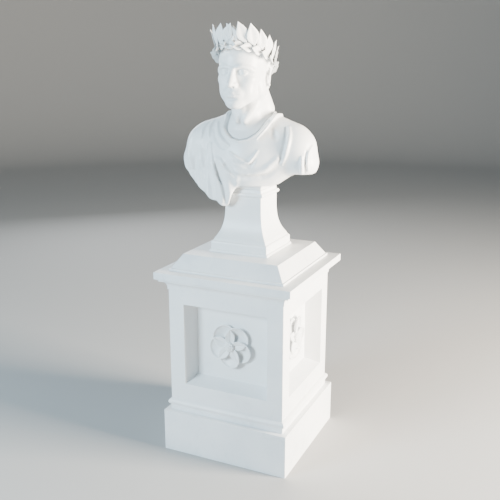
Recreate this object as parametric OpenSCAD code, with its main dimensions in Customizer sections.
// Marble bust of a laurel-crowned figure on a moulded socle, standing on a
// square pedestal with sunk panels and carved rosettes.
// Millimetres. The origin is the centre of the underside of the plinth,
// +Z is up and the face looks along -Y.

/* [Die of the pedestal] */
// Width of the square die across its faces
die_w = 410; // [380:1:500]
// Height of the die
die_h = 392; // [330:1:480]
// Thickness of the four mitred slabs
slab_t = 80; // [74:1:96]

/* [Sunk panels] */
// Width of the plain stile each side of a sunk panel
panel_stile = 55; // [48:1:62]
// Height of the plain rail under a sunk panel
panel_rail_bottom = 62; // [50:1:80]
// Height of the plain rail over a sunk panel
panel_rail_top = 47; // [40:1:60]
// Depth of a sunk panel
panel_depth = 55; // [40:1:58]
// How far the sides of a panel slope in over its depth
panel_splay = 20; // [8:1:28]

/* [Rosettes] */
// Radius of a rosette over its petal tips
rosette_r = 80; // [60:1:90]
// Height of a rosette's centre above its sunk panel's sill
rosette_rise = 142; // [110:1:160]
// Thickness of the rosette's backing disc
rosette_back_t = 9; // [6:1:14]
// How far the petals stand off the panel
rosette_relief = 30; // [22:1:38]
// Number of outer petals
rosette_petals = 5; // [5:1:8]
// Turn of the first petal from level
rosette_turn = 50; // [0:1:90]

/* [Plinth and base course] */
// How far the plinth stands out past the bead, each side
plinth_out = 11; // [5:1:40]
// Height of the plinth
plinth_h = 147; // [110:1:190]
// How far the base course stands out past the die, each side
base_out = 2; // [1:1:10]
// Height of the plain band under the bead
base_band_h = 19; // [12:1:40]
// Radius of the bead
base_bead_r = 11; // [8:1:15]
// How far the bead stands out past the plain band
base_bead_out = 7; // [4:1:10]

/* [Bed mould and cap] */
// Height of the bed mould under the cap
bed_h = 38; // [34:1:50]
// How far the bed mould spreads past the die, each side
bed_out = 24; // [16:1:32]
// Height of the plain bands at the bed mould's foot and head
bed_band_h = 5; // [3:1:7]
// How far the cap stands out past the bed mould, each side
cap_out = 11; // [5:1:24]
// Thickness of the cap slab
cap_h = 24; // [22:1:40]

/* [Blocking course] */
// Setback of the blocking course from the cap's edge
block_setback = 37; // [20:1:50]
// Height of the band at its foot
block_band_h = 8; // [5:1:14]
// Depth of the step above the band
block_step = 5; // [3:1:10]
// Run of the sloped sides
block_run = 30; // [15:1:40]
// Height of the whole course
block_h = 53; // [48:1:70]

/* [Socle] */
// Half width of the socle's foot
socle_half = 104; // [96:1:130]
// Height of the fillet under the socle's foot
socle_fillet_h = 8; // [5:1:12]
// Height of the plain block of the socle's foot
socle_block_h = 20; // [14:1:30]
// Height of the socle's foot with its moulding
socle_foot_h = 45; // [40:1:60]
// Half width of the shaft where it is slimmest
shaft_half = 64; // [58:1:70]
// Height of the flared shaft
shaft_h = 138; // [110:1:160]
// How far the shaft flares at its foot, each side
shaft_flare = 28; // [16:1:30]
// Height of the collar between shaft and torso
collar_h = 26; // [22:1:34]
// Radius of the collar's bead
collar_bead_r = 7; // [5:1:8]

/* [Bust] */
// Half width of the torso over the arms
torso_half_w = 247; // [206:1:297]
// Depth of the chest in front of the axis
torso_front = 108; // [98:1:130]
// Depth of the back behind the axis
torso_back = 103; // [95:1:124]
// Height of the torso from its underside to the collar line
torso_h = 248; // [210:1:298]
// Radius of the round tenon under the neck
tenon_r = 56; // [46:1:68]
// Least wall of the torso round the tenon
tenon_wall = 8; // [5:1:14]
// Length of the tenon in the torso
tenon_l = 92; // [60:1:110]
// How far the neck and its tenon sit in front of the axis
neck_forward = 16; // [8:1:22]
// Height of the head from the chin to the top of the hair
head_h = 238; // [225:1:245]
// Half width of the head over the hair
head_half_w = 78; // [74:1:81]
// How far the head leans in front of the axis
head_forward = 42; // [34:1:48]
// Depth of the head in front of its own axis
head_front = 98; // [92:1:104]
// Depth of the head behind its own axis
head_back = 86; // [80:1:92]

/* [Laurel wreath] */
// Number of leaf pairs on each spray
leaf_pairs = 10; // [7:1:12]
// Length of a leaf
leaf_l = 58; // [44:1:62]
// Width of a leaf
leaf_w = 27; // [18:1:30]
// Thickness of a leaf at its rib
leaf_t = 5; // [3:1:7]
// Radius of the stem
stem_r = 5; // [3:0.5:6]
// Gap between the stem and the hair, bridged by pins
stem_gap = 2; // [1:0.5:4]

/* [Dowels and cramps] */
// Radius of the dowels between the courses
dowel_r = 6; // [4:0.5:8]
// Depth of each dowel in its course
dowel_depth = 14; // [10:1:16]
// Radius of the dowel that the bust drops over
bust_dowel_r = 12; // [8:1:16]
// Depth of that dowel in the blocking course
bust_dowel_set = 40; // [25:1:44]
// Height of that dowel above the blocking course
bust_dowel_up = 60; // [30:1:90]
// Radial clearance of the bust over its dowel
bust_dowel_play = 0.5; // [0.4:0.1:2]
// Radius of the rod that ties the socle to the torso
rod_r = 10; // [6:1:14]
// Radial play that the setting resin fills
resin_play = 0.3; // [0.1:0.1:1]
// Length of a corner cramp
cramp_l = 72; // [50:1:90]
// Width of a corner cramp
cramp_w = 12; // [8:1:16]
// Thickness of a corner cramp
cramp_t = 5; // [3:1:8]
// Length of a cramp's turned-in legs
cramp_leg = 22; // [12:1:30]

/* [Hidden] */
$fn = 64;

stone = [0.93, 0.94, 0.95];
metal = [0.62, 0.58, 0.50];
eps = 0.01;

// Levels of the joints between the courses
base_h = base_band_h + 2 * base_bead_r;
z_base = plinth_h;
z_die = z_base + base_h;
z_bed = z_die + die_h;
z_cap = z_bed + bed_h;
z_block = z_cap + cap_h;
z_socle = z_block + block_h;
z_shaft = z_socle + socle_foot_h;
z_collar = z_shaft + shaft_h;
z_torso = z_collar + collar_h;
z_neck = z_torso + torso_h;
z_chin = z_neck + 12;

// Foot of the neck, as a share of the head's height below the chin
neck_share = (z_neck - z_chin) / head_h;

// Fastenings of the bust
z_tenon = z_neck - tenon_l;
rod_up = 60;
neck_dowel_l = 60;
wreath_pin_r = 1.5;
wreath_pin_head = 12;
wreath_pin_stem = 6;
pin_turns = [50, 120];

// Half widths of the square courses
die_half = die_w / 2;
base_half = die_half + base_out;
bead_half = base_half + base_bead_out;
plinth_half = bead_half + plinth_out;
bed_half = die_half + bed_out;
cap_half = bed_half + cap_out;
block_half = cap_half - block_setback;
block_top_half = block_half - block_step - block_run;

// Panel and rosette places on a slab
panel_half = die_half - panel_stile;
panel_low = panel_rail_bottom;
panel_high = die_h - panel_rail_top;
panel_back = die_half - panel_depth;
rosette_z = z_die + panel_low + rosette_rise;
pin_r = 4;
pin_l = 20;
petal_low = 2;

// Places of the fastenings, all inside the thickness of the slabs
slab_mid = die_half - slab_t / 2;
slab_dowel_x = die_half - 2 * panel_stile;
cap_dowel_at = die_half - slab_t;
block_dowel_at = block_top_half - 30;
plinth_dowel_at = die_half - panel_stile;

// Points of an elliptical arc in the plane of an outline
function arc(cx, cz, rx, rz, a0, a1, n) =
  [for (i = [0 : n]) let (a = a0 + (a1 - a0) * i / n)
    [cx + rx * cos(a), cz + rz * sin(a)]];

// A half outline and its mirror image, as one closed outline
function both_sides(half) = concat(half,
  [for (i = [len(half) - 1 : -1 : 0]) [-half[i][0], half[i][1]]]);

// A square course: the same outline on all four sides, meeting in mitres
module square_course(half) {
  reach = 2 * max([for (p = half) p[0]]) + 2;
  intersection() {
    rotate([90, 0, 0])
      linear_extrude(height = reach, center = true) polygon(both_sides(half));
    rotate([90, 0, 90])
      linear_extrude(height = reach, center = true) polygon(both_sides(half));
  }
}

// Four copies at the corners of a square, at a half spacing
module at_corners(at) {
  for (sx = [-1, 1])
    for (sy = [-1, 1])
      translate([sx * at, sy * at, 0]) children();
}

// Copies turned onto the four sides of the pedestal
module on_four_sides() {
  for (turn = [0, 90, 180, 270]) rotate([0, 0, turn]) children();
}

// A dowel hole from z0 to z1, with room for the setting resin
module dowel_hole(z0, z1, r = dowel_r) {
  translate([0, 0, z0]) cylinder(r = r + resin_play, h = z1 - z0);
}

// The dowels of a slab, two in its plain thickness
module at_slab_dowels() {
  for (side = [-1, 1]) translate([side * slab_dowel_x, -slab_mid, 0]) children();
}

// The dowels under the cap, midway along each side
module at_cap_dowels() {
  on_four_sides() translate([0, -cap_dowel_at, 0]) children();
}

module base_plinth() {
  color(stone) difference() {
    translate([-plinth_half, -plinth_half, 0])
      cube([2 * plinth_half, 2 * plinth_half, plinth_h]);
    at_corners(plinth_dowel_at) dowel_hole(z_base - dowel_depth, z_base + 1);
  }
}

module base_course() {
  bead_cx = bead_half - base_bead_r;
  bead_cz = z_base + base_band_h + base_bead_r - 1;
  lap = acos((base_bead_r - base_bead_out) / base_bead_r);
  color(stone) difference() {
    square_course(concat([[base_half, z_base]],
      arc(bead_cx, bead_cz, base_bead_r, base_bead_r, -lap, lap, 10),
      [[base_half, z_die]]));
    at_corners(plinth_dowel_at) dowel_hole(z_base - 1, z_base + dowel_depth);
    on_four_sides() at_slab_dowels() dowel_hole(z_die - dowel_depth, z_die + 1);
  }
}

// The sunk panel of the front slab, sloping in on all four sides
module sunk_panel() {
  back_half = panel_half - panel_splay;
  face = die_half + 1;
  out = panel_splay / panel_depth;
  intersection() {
    linear_extrude(height = die_h)
      polygon([[-panel_half - out, -face], [panel_half + out, -face],
               [back_half, -panel_back], [-back_half, -panel_back]]);
    rotate([90, 0, 90])
      linear_extrude(height = 2 * face, center = true)
        polygon([[-face, panel_low - out], [-face, panel_high + out],
                 [-panel_back, panel_high - panel_splay],
                 [-panel_back, panel_low + panel_splay]]);
  }
}

// One corner cramp, lying across the mitre between the front and right slabs
module corner_cramp(play = 0) {
  at = die_half - slab_t / 2;
  translate([at, -at, 0]) rotate([0, 0, 45]) {
    translate([-cramp_l / 2 - play, -cramp_w / 2 - play, -cramp_t])
      cube([cramp_l + 2 * play, cramp_w + 2 * play, cramp_t + play]);
    for (end = [-1, 1])
      translate([end * (cramp_l - cramp_w) / 2, 0, -cramp_t - cramp_leg])
        cylinder(r = cramp_w / 3 + play, h = cramp_leg + eps);
  }
}

// The cramps of one corner, at the head and the foot of the die
module cramp_pair(play = 0) {
  translate([0, 0, die_h]) corner_cramp(play);
  mirror([0, 0, 1]) corner_cramp(play);
}

// The front slab, with its foot at z = 0
module die_slab() {
  inner = die_half - slab_t;
  difference() {
    linear_extrude(height = die_h)
      polygon([[-die_half, -die_half], [die_half, -die_half],
               [inner, -inner], [-inner, -inner]]);
    sunk_panel();
    translate([0, -panel_back, panel_low + rosette_rise]) rotate([90, 0, 0])
      translate([0, 0, -pin_l / 2]) cylinder(r = pin_r + resin_play, h = pin_l);
    at_slab_dowels() dowel_hole(-1, dowel_depth);
    at_slab_dowels() dowel_hole(die_h - dowel_depth, die_h + 1);
    cramp_pair(resin_play);
    rotate([0, 0, -90]) cramp_pair(resin_play);
  }
}

module die_side(turn) {
  color(stone) translate([0, 0, z_die]) rotate([0, 0, turn]) die_slab();
}

module die_front() { die_side(0); }
module die_right() { die_side(90); }
module die_back() { die_side(180); }
module die_left() { die_side(270); }

// One petal as a low rounded lobe that starts inside the backing disc
module petal(reach, width, lift) {
  lobe = reach - width / 2;
  hull() {
    translate([width / 3, 0, petal_low]) cylinder(r = width / 4, h = rosette_back_t, $fn = 32);
    translate([lobe, 0, petal_low]) cylinder(r = width / 2, h = rosette_back_t / 2, $fn = 32);
    translate([lobe, 0, petal_low]) cylinder(r = width / 3, h = lift, $fn = 32);
  }
}

// A rosette facing +Z, its back on z = 0
module rosette() {
  petal_w = 2 * PI * (rosette_r * 0.62) / rosette_petals;
  difference() {
    union() {
      cylinder(r = rosette_r * 0.7, h = rosette_back_t);
      for (i = [1 : rosette_petals])
        rotate([0, 0, 360 * i / rosette_petals + rosette_turn])
          petal(rosette_r, petal_w, rosette_relief * 0.7);
      translate([0, 0, petal_low])
        cylinder(r = rosette_r * 0.42, h = rosette_relief * 0.8);
      translate([0, 0, petal_low])
        cylinder(r = rosette_r * 0.2, h = rosette_relief * 1.25);
    }
    translate([0, 0, -1])
      cylinder(r = pin_r + resin_play, h = pin_l / 2 + 1);
  }
}

module rosette_side(turn) {
  color(stone) rotate([0, 0, turn])
    translate([0, -panel_back, rosette_z]) rotate([90, 0, 0]) rosette();
}

module rosette_front() { rosette_side(0); }
module rosette_right() { rosette_side(90); }
module rosette_back() { rosette_side(180); }
module rosette_left() { rosette_side(270); }

module rosette_pins() {
  color(metal) on_four_sides()
    translate([0, -panel_back, rosette_z]) rotate([90, 0, 0])
      translate([0, 0, -pin_l / 2]) cylinder(r = pin_r, h = pin_l);
}

module bed_mould() {
  foot = die_half + 3;
  head = bed_half - 3;
  rise = bed_h - 2 * bed_band_h - 4;
  z_cove = z_bed + bed_band_h;
  color(stone) difference() {
    square_course(concat(
      [[foot, z_bed], [foot, z_cove]],
      arc(head, z_cove, head - foot, rise, 180, 90, 12),
      [[bed_half, z_cove + rise], [bed_half, z_cap - 4],
       [bed_half + 3, z_cap - 4], [bed_half + 3, z_cap]]));
    on_four_sides() at_slab_dowels() dowel_hole(z_bed - 1, z_bed + dowel_depth);
    at_cap_dowels() dowel_hole(z_cap - dowel_depth, z_cap + 1);
  }
}

module cap_slab() {
  color(stone) difference() {
    translate([-cap_half, -cap_half, z_cap])
      cube([2 * cap_half, 2 * cap_half, cap_h]);
    at_cap_dowels() dowel_hole(z_cap - 1, z_cap + dowel_depth);
    at_corners(block_dowel_at) dowel_hole(z_block - dowel_depth, z_block + 1);
  }
}

module blocking_course() {
  z_band = z_block + block_band_h;
  color(stone) difference() {
    square_course([[block_half, z_block], [block_half, z_band],
      [block_half - block_step, z_band], [block_top_half, z_socle]]);
    at_corners(block_dowel_at) dowel_hole(z_block - 1, z_block + dowel_depth);
    dowel_hole(z_socle - bust_dowel_set, z_socle + 1, bust_dowel_r);
  }
}

// A dowel that reaches the same depth into the courses above and below a joint
module dowel_at(z) {
  translate([0, 0, z - dowel_depth]) cylinder(r = dowel_r, h = 2 * dowel_depth);
}

module plinth_dowels() { color(metal) at_corners(plinth_dowel_at) dowel_at(z_base); }
module die_foot_dowels() { color(metal) on_four_sides() at_slab_dowels() dowel_at(z_die); }
module die_head_dowels() { color(metal) on_four_sides() at_slab_dowels() dowel_at(z_bed); }
module cap_dowels() { color(metal) at_cap_dowels() dowel_at(z_cap); }
module blocking_dowels() { color(metal) at_corners(block_dowel_at) dowel_at(z_block); }

module corner_cramps() {
  color(metal) translate([0, 0, z_die]) on_four_sides() cramp_pair();
}

module bust_dowel() {
  color(metal) translate([0, 0, z_socle - bust_dowel_set])
    cylinder(r = bust_dowel_r, h = bust_dowel_set + bust_dowel_up);
}

module socle_foot() {
  block = socle_half - 4;
  shoulder = block - 5;
  z_block_low = z_socle + socle_fillet_h;
  z_block_high = z_block_low + socle_block_h;
  color(stone) difference() {
    square_course(concat(
      [[socle_half, z_socle], [socle_half, z_block_low],
       [block, z_block_low + 2], [block, z_block_high]],
      arc(shoulder, z_block_high + 1, 5, 8, 0, 90, 6),
      [[shoulder - 4, z_shaft]]));
    dowel_hole(z_socle - 1, z_shaft + 1, bust_dowel_r + bust_dowel_play - resin_play);
  }
}

// Half width of the shaft at a share of its height, flared towards its foot
function shaft_at(t) = shaft_half + shaft_flare * pow(1 - t, 3.7);

module socle_shaft() {
  bore_top = z_socle + bust_dowel_up + 4;
  color(stone) difference() {
    square_course([for (i = [0 : 20]) [shaft_at(i / 20), z_shaft + shaft_h * i / 20]]);
    translate([0, 0, z_shaft - 1])
      cylinder(r = bust_dowel_r + bust_dowel_play, h = bore_top - z_shaft + 1);
    dowel_hole(z_collar - shaft_h / 3, z_collar + 1, rod_r);
  }
}

module socle_collar() {
  bead_z = z_collar + 4 + collar_bead_r;
  color(stone) difference() {
    square_course(concat(
      [[shaft_half, z_collar], [shaft_half, z_collar + 3]],
      arc(shaft_half, bead_z, collar_bead_r, collar_bead_r, -90, 90, 10),
      [[shaft_half - 1, z_torso]]));
    dowel_hole(z_collar - 1, z_torso + 1, rod_r);
  }
}

module socle_rod() {
  color(metal) translate([0, 0, z_collar - shaft_h / 3])
    cylinder(r = rod_r, h = shaft_h / 3 + collar_h + rod_up);
}

// One level of a rounded body: half widths to left and right, depths to
// front and back, with a fullness of 2 for an ellipse and more for a block
function ring(z, left, right, front, back, full, n, cy = 0) =
  [for (i = [0 : n - 1])
    let (a = 360 * i / n, c = cos(a), s = sin(a),
         x = sign(c) * pow(abs(c), 2 / full),
         y = sign(s) * pow(abs(s), 2 / full))
    [x * (x < 0 ? left : right), cy + y * (y < 0 ? front : back), z]];

// A closed body through a stack of rings with the same count of points
module lofted(rings) {
  n = len(rings[0]);
  m = len(rings);
  low = m * n;
  high = low + 1;
  middle = function (r) [for (k = [0 : 2]) [for (p = r) p[k]] * [for (p = r) 1 / n]];
  sides = [for (j = [0 : m - 2]) for (i = [0 : n - 1])
    let (a = j * n + i, b = j * n + (i + 1) % n)
    each [[a, b + n, b], [a, a + n, b + n]]];
  foot = [for (i = [0 : n - 1]) [low, i, (i + 1) % n]];
  head = [for (i = [0 : n - 1]) [high, (m - 1) * n + (i + 1) % n, (m - 1) * n + i]];
  polyhedron(points = concat([for (r = rings) each r],
      [middle(rings[0]), middle(rings[m - 1])]),
    faces = concat(sides, foot, head));
}

// Stations of the torso: share of its height, then shares of its half
// width to the left and right arm, its front and its back, and its fullness
torso_stations = [
  [0.00, 0.35, 0.35, 0.68, 0.70, 3.4],
  [0.06, 0.40, 0.40, 0.75, 0.76, 3.0],
  [0.12, 0.54, 0.54, 0.82, 0.82, 2.6],
  [0.16, 0.72, 0.72, 0.88, 0.86, 2.5],
  [0.20, 0.87, 0.87, 0.93, 0.89, 2.4],
  [0.27, 0.96, 0.96, 0.97, 0.94, 2.3],
  [0.36, 1.00, 1.00, 0.99, 0.98, 2.2],
  [0.46, 1.00, 1.00, 1.00, 1.00, 2.2],
  [0.57, 0.97, 0.97, 0.99, 1.00, 2.2],
  [0.68, 0.90, 0.90, 0.96, 0.97, 2.2],
  [0.77, 0.82, 0.82, 0.92, 0.92, 2.2],
  [0.85, 0.73, 0.73, 0.88, 0.84, 2.2],
  [0.91, 0.61, 0.61, 0.84, 0.77, 2.2],
  [0.96, 0.48, 0.48, 0.80, 0.70, 2.1]];

// The collar line, wide enough for the tenon and its wall
torso_collar = ring(z_neck, tenon_r + 4 * tenon_wall, tenon_r + 4 * tenon_wall,
  neck_forward + tenon_r + tenon_wall, tenon_r + tenon_wall, 2, 48);

// The swag of drapery that hangs in front of the socle from the right arm.
// Each place is a share of the torso's half width, a gap in front of the
// socle's collar, a height from the torso's underside and a radius.
swag_places = [
  [-0.86, -40, 62, 22],
  [-0.67, 10, 4, 16],
  [-0.40, 19, -40, 13],
  [-0.24, 23, -46, 11],
  [-0.12, 18, 24, 18],
  [-0.49, -24, 60, 30]];

module drape_swag() {
  clear = shaft_half + collar_bead_r + 8;
  hull()
    for (s = swag_places)
      translate([s[0] * torso_half_w, -clear - s[1], z_torso + s[2]])
        sphere(r = s[3], $fn = 24);
}

module torso() {
  color(stone) difference() {
    union() {
      lofted(concat([for (s = torso_stations)
        ring(z_torso + torso_h * s[0], torso_half_w * s[1], torso_half_w * s[2],
             torso_front * s[3], torso_back * s[4], s[5], 48)], [torso_collar]));
      drape_swag();
    }
    dowel_hole(z_torso - 1, z_torso + rod_up, rod_r);
    translate([0, -neck_forward, 0]) {
      translate([0, 0, z_tenon]) cylinder(r = tenon_r + resin_play, h = tenon_l + 1);
      dowel_hole(z_tenon - neck_dowel_l / 2, z_tenon + 1, rod_r);
    }
  }
}

module neck_dowel() {
  color(metal) translate([0, -neck_forward, z_tenon - neck_dowel_l / 2])
    cylinder(r = rod_r, h = neck_dowel_l);
}

// Stations of the neck and head: share of the height from chin to crown,
// half width, depth to the front and to the back of the head's own axis
head_stations = [
  [neck_share, 0.90, 0.36, 1.02],
  [neck_share / 2, 0.83, 0.34, 0.97],
  [ 0.000, 0.76, 0.38, 0.92],
  [ 0.030, 0.73, 0.90, 0.88],
  [ 0.100, 0.75, 1.00, 0.86],
  [ 0.200, 0.84, 1.01, 0.90],
  [ 0.300, 0.92, 1.00, 1.00],
  [ 0.400, 0.96, 0.99, 1.07],
  [ 0.500, 0.98, 0.97, 1.10],
  [ 0.620, 1.00, 0.98, 1.12],
  [ 0.740, 0.99, 0.94, 1.08],
  [ 0.840, 0.90, 0.84, 0.96],
  [ 0.920, 0.72, 0.66, 0.76],
  [ 0.970, 0.48, 0.44, 0.50],
  [ 1.000, 0.16, 0.16, 0.18]];

// One ear, seen from the side as a leaning oval
module ear(side) {
  translate([side * (head_half_w - 2), 12 - head_forward, z_chin + head_h * 0.45])
    hull() {
      translate([0, 0, 16]) sphere(r = 9, $fn = 24);
      translate([0, -6, -20]) sphere(r = 6, $fn = 24);
    }
}

// The nose, from the brow to the wings
module nose() {
  z_brow = z_chin + head_h * 0.56;
  z_tip = z_chin + head_h * 0.36;
  face = -head_forward - head_front;
  hull() {
    translate([0, face + 8, z_brow]) sphere(r = 7, $fn = 24);
    translate([0, face - 13, z_tip]) sphere(r = 8, $fn = 24);
    translate([0, face + 12, z_tip - 6]) sphere(r = 15, $fn = 24);
  }
}

module head() {
  color(stone) difference() {
    union() {
      lofted([for (s = head_stations)
        ring(z_chin + head_h * s[0], head_half_w * s[1], head_half_w * s[1],
             head_front * s[2], head_back * s[3], 2.2, 40, -head_forward)]);
      nose();
      for (side = [-1, 1]) ear(side);
      translate([0, -neck_forward, z_tenon]) cylinder(r = tenon_r, h = tenon_l + 10);
    }
    translate([0, -neck_forward, 0])
      dowel_hole(z_tenon - 1, z_tenon + neck_dowel_l / 2, rod_r);
    at_wreath_pins() wreath_pin(resin_play);
  }
}

// The stem's path round the head: turn is 0 over the brow and 180 at the nape
stem_reach = head_half_w + stem_gap + stem_r;
stem_front = head_front + stem_gap + stem_r;
stem_fall = 44;
stem_turns = [172, 12];
leaf_turns = [166, 44];
z_wreath = z_chin + head_h * 0.62;
function stem_at(turn) =
  [stem_reach * sin(turn), -head_forward - stem_front * cos(turn),
   z_wreath + stem_fall * cos(turn)];

// The direction straight out from the head at a place on the stem
function stem_out(turn) = [sin(turn), -cos(turn), 0];

module at_wreath_pins() {
  for (side = [0, 1])
    mirror([side, 0, 0])
      for (turn = pin_turns)
        translate(stem_at(turn) - stem_out(turn) * stem_r)
          rotate([-90, 0, turn]) children();
}

// One pin, from inside the head to inside the stem
module wreath_pin(play = 0) {
  translate([0, 0, -wreath_pin_stem - play])
    cylinder(r = wreath_pin_r + play, h = wreath_pin_stem + wreath_pin_head + 2 * play);
}

module wreath_pins() {
  color(metal) at_wreath_pins() wreath_pin();
}

// A laurel leaf along a direction from its foot, a thin diamond with a rib
module leaf(foot, along, across, off) {
  tip = foot + along * leaf_l;
  belly = foot + along * leaf_l * 0.45;
  polyhedron(points = [foot, belly + across * leaf_w / 2, tip,
      belly - across * leaf_w / 2, belly + off * leaf_t, belly - off * 1.5],
    faces = [[0, 1, 4], [1, 2, 4], [2, 3, 4], [3, 0, 4],
             [1, 0, 5], [2, 1, 5], [3, 2, 5], [0, 3, 5]]);
}

function unit(v) = v / norm(v);

// One spray, on the left side: the stem with its pairs of leaves, whose tips
// point towards the brow
module spray() {
  rows = 24;
  turns = [for (i = [0 : rows])
    stem_turns[0] + (stem_turns[1] - stem_turns[0]) * i / rows];
  lofted([for (t = turns)
    [for (k = [0 : 7])
      stem_at(t) + stem_out(t) * stem_r * cos(45 * k) + [0, 0, stem_r * sin(45 * k)]]]);
  for (i = [0 : leaf_pairs - 1]) {
    t = leaf_turns[0] + (leaf_turns[1] - leaf_turns[0]) * i / (leaf_pairs - 1);
    out = stem_out(t);
    ahead = unit(stem_at(t - 1) - stem_at(t + 1));
    rise = unit(cross(ahead, out));
    foot = stem_at(t) + out * (stem_r - 2);
    for (row = [1, -1]) {
      along = unit(ahead * (row > 0 ? 0.75 : 0.95) + rise * (row > 0 ? 0.66 : -0.12)
                   + out * 0.18);
      off = unit(out - along * (out * along));
      leaf(foot, along, cross(off, along), off);
    }
  }
}

// The left spray with the holes for its pins
module pinned_spray() {
  difference() {
    spray();
    at_wreath_pins() wreath_pin(resin_play);
  }
}

module wreath_left_spray() { color(stone) pinned_spray(); }
module wreath_right_spray() { color(stone) mirror([1, 0, 0]) pinned_spray(); }

base_plinth();
base_course();
die_front();
die_right();
die_back();
die_left();
rosette_front();
rosette_right();
rosette_back();
rosette_left();
rosette_pins();
bed_mould();
cap_slab();
blocking_course();
plinth_dowels();
die_foot_dowels();
die_head_dowels();
corner_cramps();
cap_dowels();
blocking_dowels();
bust_dowel();
socle_foot();
socle_shaft();
socle_collar();
socle_rod();
torso();
head();
neck_dowel();
wreath_left_spray();
wreath_right_spray();
wreath_pins();
